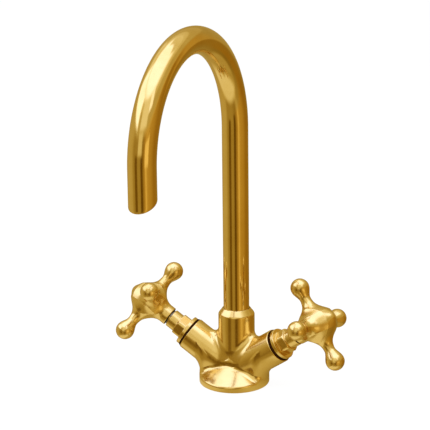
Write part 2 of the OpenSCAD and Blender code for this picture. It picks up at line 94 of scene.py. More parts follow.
# The base, its shoulder and the feet that stand below the branches.
BASE_R = 26.0
RIM_H = 4.5
RIM_EDGE = 0.8
UNDERSIDE_EDGE = 1.6
SHOULDER_R = 85.0
SHOULDER_TOP_R = 8.75
SHOULDER_TOP_Z = 15.8
SHOULDER_SQUASH = 0.92
FOOT_W = 23.0
FOOT_CORNER = 4.0
FOOT_FILLET = 3.2

# The fillet between branches and base grows over this stretch of the distance along a branch.
BRANCH_FILLET = 1.2
CROTCH_FILLET = 4.5
CROTCH_START = 16.0
CROTCH_RUN = 8.0

# The fillet round the hub grows over this stretch of Y, from the front backwards.
HUB_FILLET_FRONT = 4.6
HUB_FILLET_SIDE = 7.6
HUB_FILLET_START = -9.0
HUB_FILLET_RUN = 8.0

# The valley between the branches, and the web that fills it in front of the hub.
VALLEY_FILLET = 1.0
WEB_Z = 19.2
WEB_FRONT = 10.2
WEB_W = 24.0
WEB_FILLET = 1.0
WEB_ROUND = 2.2
WEB_EDGE = 0.5
SIDE_PAST = 0.1
SIDE_EDGE = 0.5

# The hub and what is bored into it.
HUB_R = 13.45
HUB_SLOPE_H = 4.4
HUB_LIP_R = 10.08
HUB_EDGE = 0.5
HUB_LIP_EDGE = 0.2
POCKET_H = 8.0
POCKET_R = 9.6
POCKET_EDGE = 0.1
HUB_BORE_R = 8.06
HUB_BORE_L = 25.7
WELL_R = 5.5
WELL_Z = 26.0
GRUB_R = 2.0
GRUB_FROM = 5.0

# What is bored into the underside. The groove is given by its inner radius, outer radius and height.
INLET_R = 4.5
INLET_X = 10.0
INLET_H = 12.0
STUD_R = 3.4
STUD_Y = 13.0
STUD_H = 13.0
SEAL_GROOVE = (20.4, 23.6, 1.25)
OPENING_EDGE = 0.15

# A branch. Names that end in S are distances along its axis.
BRANCH_R = 12.7
BRANCH_L = 43.3
MOUTH_EDGE = 0.55
THREAD_R = 10.05
SEAT_S = 19.0
WATER_WAY_R = 3.2
WATER_WAY_S = 12.0

# The washer and the bonnet.
SEAL_T = 1.4
SEAL_R = 12.1
SEAL_BULGE = 0.5
FLANGE_R = 11.6
FLANGE_T = 2.8
FLANGE_FILLET = 0.5
HEX_AF = 16.2
HEX_H = 7.1
HEX_WEAR = 1.3
HEX_CORNER_R = HEX_AF / 2 / math.cos(math.radians(30))
# Square to one of the leaning flats, in the branch's X and Y.
HEX_LEAN = (math.cos(math.radians(30)), 0.5)
HEX_CHAMFER_H = 1.2
HEX_CHAMFER_W = 1.5
HEX_CHAMFER_EDGE = 0.25
HEX_TOP_EDGE = 0.2
NOSE_R = 7.0
NOSE_H = 6.9
NOSE_FILLET = 0.4
BONNET_EDGE = 0.45
BONNET_BORE_EDGE = 0.2
STEM_R = 4.6
SKIRT_R = 8.7
SKIRT_BORE_R = 7.65
SKIRT_S = 20.5
SKIRT_OPEN = 2.0
THREAD_S = 34.7
THREAD_PLAY = 0.1
THREAD_EDGE = 0.4
SHELF_S = 31.75
FLANGE_S = BRANCH_L + SEAL_T
HEX_S = FLANGE_S + FLANGE_T
NOSE_S = HEX_S + HEX_H
NOSE_END_S = NOSE_S + NOSE_H

# The cross handles.
HANDLE_GAP = {"left": 1.4, "right": 1.0}
COLLAR_L = {"left": 19.6, "right": 18.2}
CROSS_TURN = {"left": 37.5, "right": 8.5}
COLLAR_R = 7.3
COLLAR_EDGE = 0.4
COLLAR_SWEEP_R = 15.0
CROSS_HUB_R = 10.0
CROSS_TOP_EDGE = 2.0
DOME_TIP = 15.8
DOME_R = 5.2
DOME_Z = DOME_TIP - DOME_R
ARM_L = 29.1
ARM_SWEEP_R = 17.0
ARM_SWEEP_SHARE = 0.8
BALL_R = 6.9
BALL_FILLET = 3.0
NECK_R = 4.0
NECK_AT = 20.4
ARMS_FILLET = 4.0
MIDDLE_FILLET = 3.0
HANDLE_BORE_R = 4.05
HANDLE_BORE_L = 12.6
HANDLE_BORE_EDGE = 0.2
HANDLE_GRUB_AT = 5.5
HANDLE_GRUB_TURN = math.radians(45)

# The spout, and how many rings its parts are made of.
TUBE_WALL = 1.2
DROP_H = 21.8
CUT_ANGLE = math.radians(28)
LIP_ROUND = 0.35
FOOT_BEVEL = 0.3
UPWARDS = math.pi / 2
LEG_RINGS = 40
ARCH_RINGS = 120
DROP_RINGS = 12
LIP_RINGS = 8


# Distances from shapes, in millimetres: below zero is inside.

def fillet(a, b, r):
    """The union of a and b, with a round fillet of radius r where they meet."""
    return np.maximum(r, np.minimum(a, b)) - np.hypot(np.maximum(r - a, 0), np.maximum(r - b, 0))


def rounded(a, b, r):
    """What is inside both a and b, with its edge rounded to radius r."""
    return np.minimum(-r, np.maximum(a, b)) + np.hypot(np.maximum(r + a, 0), np.maximum(r + b, 0))


def between(value, low, high):
    """Below zero where a value lies between low and high."""
    return np.maximum(low - value, value - high)


def eased(low, high, share):
    """From low to high as the share goes from zero to one, with a gentle start and end."""
    share = np.clip(share, 0, 1)
    return low + (high - low) * share * share * (3 - 2 * share)


def slope(radius, z, r1, z1, r2, z2):
    """Distance outside the cone through (r1, z1) and (r2, z2), which narrows upwards."""
    return ((radius - r1) * (z2 - z1) + (z - z1) * (r1 - r2)) / math.hypot(z2 - z1, r1 - r2)


def bore(radius, z, r, low, high, edge=0.25):
    return rounded(radius - r, between(z, low, high), edge)


def on_branch(p, side):
    """Points in the branch's own axes."""
    q = p.copy()
    q[..., 0] *= side
    q -= branch_at
    return q @ AXIS_X, q @ AXIS_Y, q @ AXIS_Z


def branch_solid(p, side):
    x, y, s = on_branch(p, side)
    mouth = rounded(np.hypot(x, y) - BRANCH_R, s - BRANCH_L, MOUTH_EDGE)
    return np.maximum(mouth, -s)


def branch_hollow(p, side):
    """The thread's bore and the water way. The elbow and port that join it out of sight are left out."""
    x, y, s = on_branch(p, side)
    radius = np.hypot(x, y)
    thread = bore(radius, s, THREAD_R, SEAT_S, BRANCH_L + CUT_PAST)
    return np.minimum(thread, bore(radius, s, WATER_WAY_R, WATER_WAY_S, SEAT_S + OVERLAP))


def hub_solid(p):
    radius = np.hypot(p[..., 0], p[..., 1] - COLUMN_Y)
    z = p[..., 2]
    cone = slope(radius, z, HUB_R, HUB_TOP - HUB_SLOPE_H, HUB_LIP_R, HUB_TOP)
    return rounded(rounded(radius - HUB_R, cone, HUB_EDGE), z - HUB_TOP, HUB_LIP_EDGE)


def across_branches(p):
    """How far a point lies along the nearer branch, seen from above, and how far beside its axis."""
    x = np.abs(p[..., 0])
    y = p[..., 1] - branch_at[1]
    return x * math.cos(SWEEP) - y * math.sin(SWEEP), np.abs(x * math.sin(SWEEP) + y * math.cos(SWEEP))


def feet_solid(p):
    """The casting stands upright below each branch, about as wide as the branch."""
    along, beside = across_branches(p)
    above = (p[..., 2] - branch_at[2]) * math.cos(TILT) - along * math.sin(TILT)
    outer = np.hypot(p[..., 0], p[..., 1]) - BASE_R
    return np.maximum(rounded(beside - FOOT_W / 2, outer, FOOT_CORNER), above)


def web_solid(p):
    """A web fills the valley between the branches in front of the hub, flush with their sides."""
    x, y, z = np.abs(p[..., 0]), p[..., 1], p[..., 2]
    top = rounded(-y - WEB_FRONT, z - WEB_Z, WEB_ROUND)
    return rounded(np.maximum(x - WEB_W / 2, y), top, WEB_EDGE)


def base_solid(p):
    radius = np.hypot(p[..., 0], p[..., 1])
    # The shoulder is an arc from the rim up to the foot of the hub.
    run, rise = BASE_R - SHOULDER_TOP_R, SHOULDER_TOP_Z - RIM_H
    chord = math.hypot(run, rise)
    back = math.sqrt(SHOULDER_R ** 2 - chord ** 2 / 4)
    centre_r = (BASE_R + SHOULDER_TOP_R) / 2 - back * rise / chord
    centre_z = (RIM_H + SHOULDER_TOP_Z) / 2 - back * run / chord
    # It is flatter across than a true cone, so the rim grows a little towards the branches.
    oval = np.hypot(p[..., 0] * SHOULDER_SQUASH, p[..., 1])
    shoulder = np.hypot(oval - centre_r, p[..., 2] - centre_z) - SHOULDER_R
    drum = rounded(radius - BASE_R, shoulder, RIM_EDGE)
    return np.maximum(fillet(drum, feet_solid(p), FOOT_FILLET), radius - BASE_R)


def underside_hollow(p):
    x, y, z = p[..., 0], p[..., 1], p[..., 2]
    groove_inner, groove_outer, groove_h = SEAL_GROOVE
    groove = np.maximum(between(np.hypot(x, y), groove_inner, groove_outer), z - groove_h)
    inlet_y = branch_at[1] - INLET_X * math.tan(SWEEP)
    inlets = bore(np.hypot(np.abs(x) - INLET_X, y - inlet_y), z, INLET_R, -CUT_PAST, INLET_H)
    stud = bore(np.hypot(x, y - STUD_Y), z, STUD_R, -CUT_PAST, STUD_H)
    return np.minimum(groove, np.minimum(inlets, stud))


def hub_hollow(p):
    x, y, z = p[..., 0], p[..., 1] - COLUMN_Y, p[..., 2]
    radius = np.hypot(x, y)
    pocket = bore(radius, z, POCKET_R, HUB_TOP - POCKET_H, HUB_TOP + CUT_PAST, POCKET_EDGE)
    spigot = bore(radius, z, HUB_BORE_R, HUB_TOP - HUB_BORE_L, HUB_TOP)
    well = bore(radius, z, WELL_R, WELL_Z, HUB_TOP)
    screw = bore(np.hypot(x, z - SCREW_Z), y, GRUB_R, GRUB_FROM, HUB_R + CUT_PAST)
    return np.minimum(np.minimum(pocket, spigot), np.minimum(well, screw))


def body_solid(p):
    branches = fillet(branch_solid(p, 1), branch_solid(p, -1), VALLEY_FILLET)
    branches = fillet(branches, web_solid(p), WEB_FILLET)
    along, beside = across_branches(p)
    # Nothing of the web or its fillets stands out beside the branches.
    branches = rounded(branches, beside - BRANCH_R - SIDE_PAST, SIDE_EDGE)
    # The fillet grows towards the rim, where the branches come out over it.
    crotch = eased(BRANCH_FILLET, CROTCH_FILLET, (along - CROTCH_START) / CROTCH_RUN)
    lower = fillet(branches, base_solid(p), crotch)
    # The fillet round the hub is tighter at the front than at the sides and the back.
    sweep = eased(HUB_FILLET_FRONT, HUB_FILLET_SIDE, (p[..., 1] - HUB_FILLET_START) / HUB_FILLET_RUN)
    whole = fillet(hub_solid(p), lower, sweep)
    whole = rounded(whole, -p[..., 2], UNDERSIDE_EDGE)
    for hollow in (hub_hollow(p), underside_hollow(p), branch_hollow(p, 1), branch_hollow(p, -1)):
        whole = rounded(whole, -hollow, OPENING_EDGE)
    return whole


def hexagon(x, y):
    """Distance outside a hexagon whose flats face along the branch's Y, with its corners worn round."""
    half = HEX_AF / 2
    lean_x, lean_y = x * HEX_LEAN[0], y * HEX_LEAN[1]
    first = rounded(np.abs(y) - half, np.abs(lean_x + lean_y) - half, HEX_WEAR)
    return rounded(first, np.abs(lean_x - lean_y) - half, HEX_WEAR)


def bonnet_solid(p):
    x, y, s = p[..., 0], p[..., 1], p[..., 2]
    radius = np.hypot(x, y)
    flange = rounded(radius - FLANGE_R, between(s, FLANGE_S, HEX_S), BONNET_EDGE)
    chamfer_r = HEX_CORNER_R - HEX_CHAMFER_W
    chamfer = slope(radius, s, HEX_CORNER_R, NOSE_S - HEX_CHAMFER_H, chamfer_r, NOSE_S)
    nut = rounded(hexagon(x, y), chamfer, HEX_CHAMFER_EDGE)
    nut = rounded(nut, between(s, HEX_S - OVERLAP, NOSE_S), HEX_TOP_EDGE)
    nose = rounded(radius - NOSE_R, s - NOSE_END_S, BONNET_EDGE)
    nose = np.maximum(nose, HEX_S - s)
    thread_r = THREAD_R - THREAD_PLAY
    thread = rounded(radius - thread_r, np.maximum(THREAD_S - s, s - FLANGE_S - OVERLAP), THREAD_EDGE)
    skirt = np.maximum(radius - SKIRT_R, between(s, SKIRT_S, FLANGE_S))
    outside = fillet(fillet(flange, nut, FLANGE_FILLET), nose, NOSE_FILLET)
    outside = np.minimum(outside, np.minimum(thread, skirt))
    cavity = bore(radius, s, SKIRT_BORE_R, SKIRT_S - SKIRT_OPEN, SHELF_S)
    return rounded(outside, -np.minimum(cavity, radius - STEM_R), BONNET_BORE_EDGE)


def arm_solid(d, t, z):
    """One arm of the cross: d is along it, t and z across it."""
    radius = np.hypot(t, z)
    back = np.clip(NECK_AT - d, 0, ARM_SWEEP_R * ARM_SWEEP_SHARE)
    level = np.sqrt(ARM_SWEEP_R ** 2 - back ** 2)
    steep = back / level
    neck = (radius - NECK_R - (ARM_SWEEP_R - level)) / np.sqrt(1 + steep ** 2)
    neck = np.maximum(neck, between(d, 0, ARM_L))
    return fillet(neck, np.hypot(d - ARM_L, radius) - BALL_R, BALL_FILLET)


def cross_core(radius, z, collar_l):
    """The collar, middle and dome of the cross, turned about its axis."""
    sweep = math.acos(1 - (CROSS_HUB_R - COLLAR_R) / COLLAR_SWEEP_R)
    sweep_z = -COLLAR_SWEEP_R * math.sin(sweep)
    up = np.clip(z - sweep_z, 0, -sweep_z)
    level = np.sqrt(COLLAR_SWEEP_R ** 2 - up ** 2)
    steep = up / level
    side = (radius - (COLLAR_R + COLLAR_SWEEP_R - level)) / np.sqrt(1 + steep ** 2)
    # The dome runs out into a cone of 45 degrees.
    dome = np.hypot(radius, z - DOME_Z) - DOME_R
    cone = (radius + z - DOME_Z - DOME_R * math.sqrt(2)) / math.sqrt(2)
    above = np.where(z - DOME_Z > radius, dome, cone)
    return rounded(rounded(side, above, CROSS_TOP_EDGE), -collar_l - z, COLLAR_EDGE)


def cross_solid(p, collar_l):
    x, y, z = p[..., 0], p[..., 1], p[..., 2]
    radius = np.hypot(x, y)
    arms = fillet(arm_solid(np.abs(x), y, z), arm_solid(np.abs(y), x, z), ARMS_FILLET)
    whole = fillet(arms, cross_core(radius, z, collar_l), MIDDLE_FILLET)
    shaft = bore(radius, z, HANDLE_BORE_R, -collar_l - CUT_PAST, -collar_l + HANDLE_BORE_L)
    cos, sin = math.cos(HANDLE_GRUB_TURN), math.sin(HANDLE_GRUB_TURN)
    across = np.hypot(y * cos - x * sin, z + collar_l - HANDLE_GRUB_AT)
    grub = bore(across, x * cos + y * sin, GRUB_R, 0, COLLAR_R + CUT_PAST)
    return rounded(whole, -np.minimum(shaft, grub), HANDLE_BORE_EDGE)


# Meshes from distances.

# A block of this many grid points is filled with one value where the surface can't be in it.
BLOCK = 24
FAR_SHARE = 1.3
FAR_MARGIN = 2.0
MARGIN_CELLS = 2
SETTLE_ROUNDS = 4
LEAST_SLOPE = 0.3
# How far the casting's grid reaches, as a share of the distance to the branches' mouths.
GRID_REACH = 1.02


def gradient(distance, p, h=0.02):
    g = np.zeros_like(p)
    for k in range(3):
        step = np.zeros(3)
        step[k] = h
        g[:, k] = (distance(p + step) - distance(p - step)) / (2 * h)
    return g


def field(distance, low, cell, shape):
    """The distance at every grid point, worked out finely only near the surface."""
    values = np.empty(shape, np.float32)
    axes = [low[k] + cell * np.arange(shape[k]) for k in range(3)]
    for corner in np.ndindex(*[-(-n // BLOCK) for n in shape]):
        cut = tuple(slice(c * BLOCK, c * BLOCK + BLOCK) for c in corner)
        part = [axis[s] for axis, s in zip(axes, cut)]
        middle = np.array([(a[0] + a[-1]) / 2 for a in part])
        reach = np.linalg.norm([(a[-1] - a[0]) / 2 for a in part])
        from_middle = float(distance(middle[None])[0])
        if abs(from_middle) > reach * FAR_SHARE + FAR_MARGIN:
            values[cut] = from_middle
        else:
            values[cut] = distance(np.stack(np.meshgrid(*part, indexing="ij"), axis=-1))
    return values


def crossings(values):
    """Where grid edges cross the surface: the cells round each, its place, and its quad."""
    inside = values < 0
    strides = np.array([values.shape[1] * values.shape[2], values.shape[2], 1])
    cells, places, quads = [], [], []
    for axis in range(3):
        first = [slice(None)] * 3
        second = [slice(None)] * 3
        first[axis] = slice(None, -1)
        second[axis] = slice(1, None)
        first, second = tuple(first), tuple(second)
        at = np.argwhere(inside[first] != inside[second])
        a = values[first][tuple(at.T)]
        b = values[second][tuple(at.T)]
        place = at.astype(float)
        place[:, axis] += a / (a - b)
        u, v = (axis + 1) % 3, (axis + 2) % 3
        base = at @ strides
        around = [base, base - strides[u], base - strides[u] - strides[v], base - strides[v]]
        quad = np.stack(around, axis=1)
        flip = a > 0
        quad[flip] = quad[flip][:, ::-1]
        quads.append(quad)
        for c in around:
            cells.append(c)
            places.append(place)
    return np.concatenate(cells), np.concatenate(places), np.concatenate(quads)


def surface(distance, low, high, cell):
    """A closed quad mesh on the zero of the distance, with its vertex normals."""
    low = np.array(low, float) - MARGIN_CELLS * cell
    steps = np.ceil((np.array(high, float) - low) / cell) + MARGIN_CELLS + 1
    cells, places, quads = crossings(field(distance, low, cell, tuple(int(n) for n in steps)))
    ids, index = np.unique(cells, return_inverse=True)
    count = np.bincount(index)
    points = np.stack([np.bincount(index, places[:, k]) / count for k in range(3)], axis=1)
    points = low + cell * points
    for _ in range(SETTLE_ROUNDS):
        g = gradient(distance, points)
        f = distance(points)
        move = -(f / np.maximum((g ** 2).sum(1), LEAST_SLOPE))[:, None] * g
        points += np.clip(move, -cell / 2, cell / 2)
    g = gradient(distance, points)
    normals = g / np.maximum(np.linalg.norm(g, axis=1), 1e-6)[:, None]
    return points, np.searchsorted(ids, quads), normals


def mesh_object(name, points, faces, material, normals=None):
    mesh = bpy.data.meshes.new(name)
    mesh.from_pydata((points * MM).tolist(), [], faces.tolist())
    mesh.polygons.foreach_set("use_smooth", np.ones(len(mesh.polygons), bool))
    if normals is not None:
        mesh.normals_split_custom_set_from_vertices([tuple(n) for n in normals])
    mesh.materials.append(material)
    mesh.validate()
    obj = bpy.data.objects.new(name, mesh)
    bpy.context.scene.collection.objects.link(obj)
    return obj


def from_branch(values, side, origin):
    """From the branch's own axes to the world's: points, or directions where the origin is zero."""
    world = origin + values[:, :1] * AXIS_X + values[:, 1:2] * AXIS_Y + values[:, 2:] * AXIS_Z
    world[:, 0] *= side
    return world


def branch_object(name, side, points, faces, material, normals=None):
    """A mesh made in the branch's own axes. On the left it is mirrored, so its faces turn round."""
    order = faces[:, ::-1] if side < 0 else faces
    if normals is not None:
        normals = from_branch(normals, side, 0)
    return mesh_object(name, from_branch(points, side, branch_at), order, material, normals)


def lathe(outline, steps):
    """A closed outline of (radius, height) turned about Z, as points and faces."""
    points, faces = [], []
    n = len(outline)
    for i in range(steps):
        turn = i * 2 * math.pi / steps
        for r, z in outline:
            points.append((r * math.cos(turn), r * math.sin(turn), z))
    for i in range(steps):
        for k in range(n):
            a, b = i * n + k, i * n + (k + 1) % n
            c, d = ((i + 1) % steps) * n + (k + 1) % n, ((i + 1) % steps) * n + k
            faces.append((a, d, c, b))
    return np.array(points), np.array(faces)


# Materials.

BRASS_TONE = (0.78, 0.58, 0.20)
# The middle part of a noise's range, which is stretched over a range of roughness.
NOISE_RANGE = (0.3, 0.7)


def new_material(name):
    material = bpy.data.materials.new(name)
    material.use_nodes = True
    return material, material.node_tree


def principled(name, color, metallic, roughness):
    material, tree = new_material(name)
    shader = tree.nodes["Principled BSDF"]
    shader.inputs["Base Color"].default_value = (*color, 1)
    shader.inputs["Metallic"].default_value = metallic
    shader.inputs["Roughness"].default_value = roughness
    return material, tree, shader


def scaled(color, factors):
    return tuple(min(1, c * f) for c, f in zip(color, factors))


def noise(tree, scale, detail=3.0, rough=0.5, vector=None):
    node = tree.nodes.new("ShaderNodeTexNoise")
    node.inputs["Scale"].default_value = scale
    node.inputs["Detail"].default_value = detail
    node.inputs["Roughness"].default_value = rough
    if vector is None:
        vector = tree.nodes.new("ShaderNodeTexCoord").outputs["Object"]
    tree.links.new(vector, node.inputs["Vector"])
    return node.outputs["Fac"]


def ramp(tree, factor, stops):
    node = tree.nodes.new("ShaderNodeValToRGB")
    elements = node.color_ramp.elements
    while len(elements) < len(stops):
        elements.new(0.5)
    for element, (place, color) in zip(elements, stops):
        element.position = place
        element.color = (*color, 1)
    tree.links.new(factor, node.inputs["Fac"])
    return node.outputs["Color"]


def spread(tree, value, low, high):
    """A noise's middle range stretched from low to high."""
    node = tree.nodes.new("ShaderNodeMapRange")
    node.inputs["From Min"].default_value, node.inputs["From Max"].default_value = NOISE_RANGE
    node.inputs["To Min"].default_value = low
    node.inputs["To Max"].default_value = high
    tree.links.new(value, node.inputs["Value"])
    return node.outputs["Result"]


def bump(tree, shader, height, distance):
    """Adds a bump, in metres, on top of those that the shader has."""
    node = tree.nodes.new("ShaderNodeBump")
    node.inputs["Distance"].default_value = distance
    node.inputs["Strength"].default_value = 1.0
    tree.links.new(height, node.inputs["Height"])
    link = shader.inputs["Normal"].links
    if link:
        tree.links.new(link[0].from_socket, node.inputs["Normal"])
    tree.links.new(node.outputs["Normal"], shader.inputs["Normal"])


def stretched(tree, rotation, scale):
    """Object coordinates turned by rotation and then stretched."""
    coords = tree.nodes.new("ShaderNodeTexCoord").outputs["Object"]
    turn = tree.nodes.new("ShaderNodeMapping")
    turn.inputs["Rotation"].default_value = rotation
    tree.links.new(coords, turn.inputs["Vector"])
    size = tree.nodes.new("ShaderNodeMapping")
    size.inputs["Scale"].default_value = scale
    tree.links.new(turn.outputs["Vector"], size.inputs["Vector"])
    return size.outputs["Vector"]


def brass(name, rough, wave, wave_scale):
    """Brass whose tone, gloss and surface vary a little from place to place."""
    material, tree, shader = principled(name, BRASS_TONE, 1.0, sum(rough) / 2)
    dark = scaled(BRASS_TONE, (0.95, 0.92, 0.82))
    light = scaled(BRASS_TONE, (1.03, 1.05, 1.12))
    cloud = noise(tree, 60, detail=4, rough=0.6)
    tone = ramp(tree, cloud, [(0.3, dark), (0.52, BRASS_TONE), (0.72, light)])
    tree.links.new(tone, shader.inputs["Base Color"])
    smear = noise(tree, 140, detail=5, rough=0.65)
    tree.links.new(spread(tree, smear, *rough), shader.inputs["Roughness"])
    bump(tree, shader, noise(tree, wave_scale, detail=2, rough=0.4), wave)
    bump(tree, shader, noise(tree, 900, detail=3, rough=0.6), 2 * MICRON)
    return material, tree, shader


def polished_brass(name, rough):
    material, tree, shader = brass(name, rough, wave=60 * MICRON, wave_scale=40)
    along = stretched(tree, rotation=(0, 0, 0), scale=(2600, 2600, 60))
    bump(tree, shader, noise(tree, 1, detail=4, rough=0.7, vector=along), 2 * MICRON)
    return material


def cast_brass():
    material, tree, shader = brass("satin_brass", (0.17, 0.25), wave=30 * MICRON, wave_scale=90)
    bump(tree, shader, noise(tree, 420, detail=4, rough=0.6), 2 * MICRON)
    return material


def turned_brass(name, rotation):
    material, tree, shader = brass(name, (0.16, 0.26), wave=30 * MICRON, wave_scale=90)
    around = stretched(tree, rotation, scale=(40, 40, 5200))
    bump(tree, shader, noise(tree, 1, detail=3, rough=0.7, vector=around), 3 * MICRON)
    return material


def plain(name, color, metallic, rough, grain, depth, sheen=0.5):
    """A plainer finish with fine grain, for rubber, plastic, ceramic and steel."""
    material, tree, shader = principled(name, color, metallic, sum(rough) / 2)
    dark = scaled(color, (0.82, 0.82, 0.82))
    light = scaled(color, (1.12, 1.12, 1.12))
    tone = ramp(tree, noise(tree, grain / 6, detail=4), [(0.35, dark), (0.65, light)])
    tree.links.new(tone, shader.inputs["Base Color"])
    tree.links.new(spread(tree, noise(tree, grain / 2), *rough), shader.inputs["Roughness"])
    bump(tree, shader, noise(tree, grain, detail=4, rough=0.6), depth)
    shader.inputs["Specular IOR Level"].default_value = sheen
    return material


def axis_rotation(axis):
    """Turns object coordinates so that the axis becomes Z."""
    return tuple(Vector(axis).rotation_difference(Vector((0, 0, 1))).to_euler("XYZ"))


POLISHED = polished_brass("polished_brass", (0.08, 0.14))
POLISHED_CASTING = polished_brass("polished_casting", (0.15, 0.21))
CAST = cast_brass()
TURNED = {
    "left": turned_brass("turned_brass_left", axis_rotation(left_axis)),
    "right": turned_brass("turned_brass_right", axis_rotation(right_axis)),
    "spout": turned_brass("turned_brass_spout", (0, 0, 0)),
}
RUBBER = plain("black_rubber", (0.028, 0.008, 0.002), 0.0, (0.8, 0.95), 1500, 30 * MICRON, sheen=0.0)
PLASTIC = plain("white_plastic", (0.74, 0.74, 0.70), 0.0, (0.35, 0.5), 900, 10 * MICRON)
CERAMIC = plain("ceramic", (0.80, 0.76, 0.66), 0.0, (0.08, 0.2), 1200, 4 * MICRON)
STEEL = plain("steel", (0.24, 0.20, 0.15), 1.0, (0.35, 0.5), 1800, 10 * MICRON)

CAD_MATERIALS = {
    "polished_brass": POLISHED,
    "turned_brass": TURNED["spout"],
    "satin_brass": CAST,
    "black_rubber": RUBBER,
    "white_plastic": PLASTIC,
    "ceramic": CERAMIC,
    "steel": STEEL,
}


def dress_cad_nodes():
    for part in frame["record"]["subparts"]:
        node = frame["nodes"][part["node"]]
        material = CAD_MATERIALS[part["material_slot"]]
        side = part["node"].split("_")[0]
        if part["material_slot"] == "turned_brass" and side in TURNED:
            material = TURNED[side]
        for slot in node.material_slots:
            slot.material = material


# Pieces.

def finish_piece(obj, body, slot, *nodes):
    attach(obj, body)
    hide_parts(*nodes)


def build_body():
    cell = 0.55
    x = (BRANCH_L * math.cos(TILT) + BRANCH_R * math.sin(TILT)) * GRID_REACH
    points, faces, normals = surface(body_solid, (-x, -BASE_R, 0), (x, BASE_R, HUB_TOP), cell)
    obj = mesh_object("cast_body", points, faces, POLISHED_CASTING, normals)
    finish_piece(obj, "body", "polished_brass", "body")


def build_bonnets():
    cell = 0.3
    high = (FLANGE_R, FLANGE_R, NOSE_END_S)
    points, faces, normals = surface(bonnet_solid, (-FLANGE_R, -FLANGE_R, SKIRT_S), high, cell)
    for name, side in SIDES.items():
        obj = branch_object(name + "_valve_bonnet", side, points, faces, TURNED[name], normals)
        finish_piece(obj, "body", "turned_brass", name + "_bonnet")


def build_crosses():
    cell = 0.5
    wide = ARM_L + BALL_R
    for name, side in SIDES.items():
        collar_l = COLLAR_L[name]
        points, faces, normals = surface(lambda p: cross_solid(p, collar_l), (-wide, -wide, -collar_l),
                                         (wide, wide, DOME_TIP), cell)
        a = -math.radians(CROSS_TURN[name])
        turn = np.array([[math.cos(a), math.sin(a), 0], [-math.sin(a), math.cos(a), 0], [0, 0, 1]])
        cross_s = NOSE_END_S + HANDLE_GAP[name] + collar_l
        placed = points @ turn + [0, 0, cross_s]
        obj = branch_object(name + "_handle", side, placed, faces, CAST, normals @ turn)
        finish_piece(obj, name + "_valve", "satin_brass", name + "_cross_handle")


def build_seals():
    """The black washers, with rounded edges that bulge a little where they are squeezed."""
    edge_steps, turn_steps = 8, 128
    flat_r = SEAL_R - SEAL_BULGE
    outline = [(THREAD_R, BRANCH_L), (flat_r, BRANCH_L)]
    for i in range(edge_steps + 1):
        a = -math.pi / 2 + math.pi * i / edge_steps
        outline.append((flat_r + SEAL_BULGE * math.cos(a), FLANGE_S - SEAL_T / 2 + SEAL_T / 2 * math.sin(a)))
    outline += [(flat_r, FLANGE_S), (THREAD_R, FLANGE_S)]
    points, faces = lathe(outline, turn_steps)
    for name, side in SIDES.items():
        obj = branch_object(name + "_washer", side, points, faces, RUBBER)
        finish_piece(obj, "body", "black_rubber", name + "_bonnet_seal")


def spout_path():
    """Places along the tube's axis as (y, z, heading), from the foot over the arch to its end."""
    bend = REACH / 2
    path = []
    for i in range(LEG_RINGS):
        path.append((COLUMN_Y, TUBE_FOOT + (ARCH_Z - TUBE_FOOT) * i / LEG_RINGS, UPWARDS))
    for i in range(ARCH_RINGS + 1):
        a = math.pi * i / ARCH_RINGS
        path.append((COLUMN_Y - bend + bend * math.cos(a), ARCH_Z + bend * math.sin(a), UPWARDS + a))
    return path


def tube_ring(y, z, heading, radius, steps):
    """Points of a circle across the tube's axis."""
    across = np.array([0, math.sin(heading), -math.cos(heading)])
    t = np.arange(steps) * 2 * math.pi / steps
    centre = np.array([0, y, z])
    return centre + radius * (np.cos(t)[:, None] * np.array([1, 0, 0]) + np.sin(t)[:, None] * across)


def cut_ring(radius, lift, steps):
    """Points where the slanted cut, raised by lift, crosses the drop at a radius."""
    t = np.arange(steps) * 2 * math.pi / steps
    x = radius * np.cos(t)
    y = COLUMN_Y - REACH - radius * np.sin(t)
    z = ARCH_Z - DROP_H + lift + (y - (COLUMN_Y - REACH)) * math.tan(CUT_ANGLE)
    return np.stack([x, y, z], axis=1)


def drop_rings(end, radius, steps):
    """Rings between the end of the arch and the lip."""
    top = tube_ring(*end, radius, steps)
    last = cut_ring(radius, LIP_ROUND, steps)
    return [top + (last - top) * i / DROP_RINGS for i in range(1, DROP_RINGS)]


def spout_rings(steps):
    """Rings up the tube's outside, round its lip and back along its inside to the foot."""
    outer, inner = TUBE_R, TUBE_R - TUBE_WALL
    half = TUBE_WALL / 2
    path = spout_path()
    rings = [
        tube_ring(COLUMN_Y, TUBE_FOOT, UPWARDS, outer - FOOT_BEVEL, steps),
        tube_ring(COLUMN_Y, TUBE_FOOT + FOOT_BEVEL, UPWARDS, outer, steps),
    ]
    rings += [tube_ring(*place, outer, steps) for place in path[1:]]
    rings += drop_rings(path[-1], outer, steps)
    for i in range(LIP_RINGS + 1):
        a = math.pi * i / LIP_RINGS
        rings.append(cut_ring(outer - half + half * math.cos(a), LIP_ROUND * (1 - math.sin(a)), steps))
    rings += reversed(drop_rings(path[-1], inner, steps))
    rings += [tube_ring(*place, inner, steps) for place in reversed(path[1:])]
    rings.append(tube_ring(COLUMN_Y, TUBE_FOOT, UPWARDS, inner, steps))
    return rings


def build_spout():
    steps = 128
    rings = spout_rings(steps)
    faces = []
    for k in range(len(rings)):
        after = (k + 1) % len(rings)
        for i in range(steps):
            j = (i + 1) % steps
            faces.append((k * steps + i, k * steps + j, after * steps + j, after * steps + i))
    obj = mesh_object("gooseneck", np.concatenate(rings), np.array(faces), POLISHED)
    finish_piece(obj, "spout", "polished_brass", "spout_tube")


# The camera, fitted to the photograph: the focus is in pixels, and lengths are in millimetres.

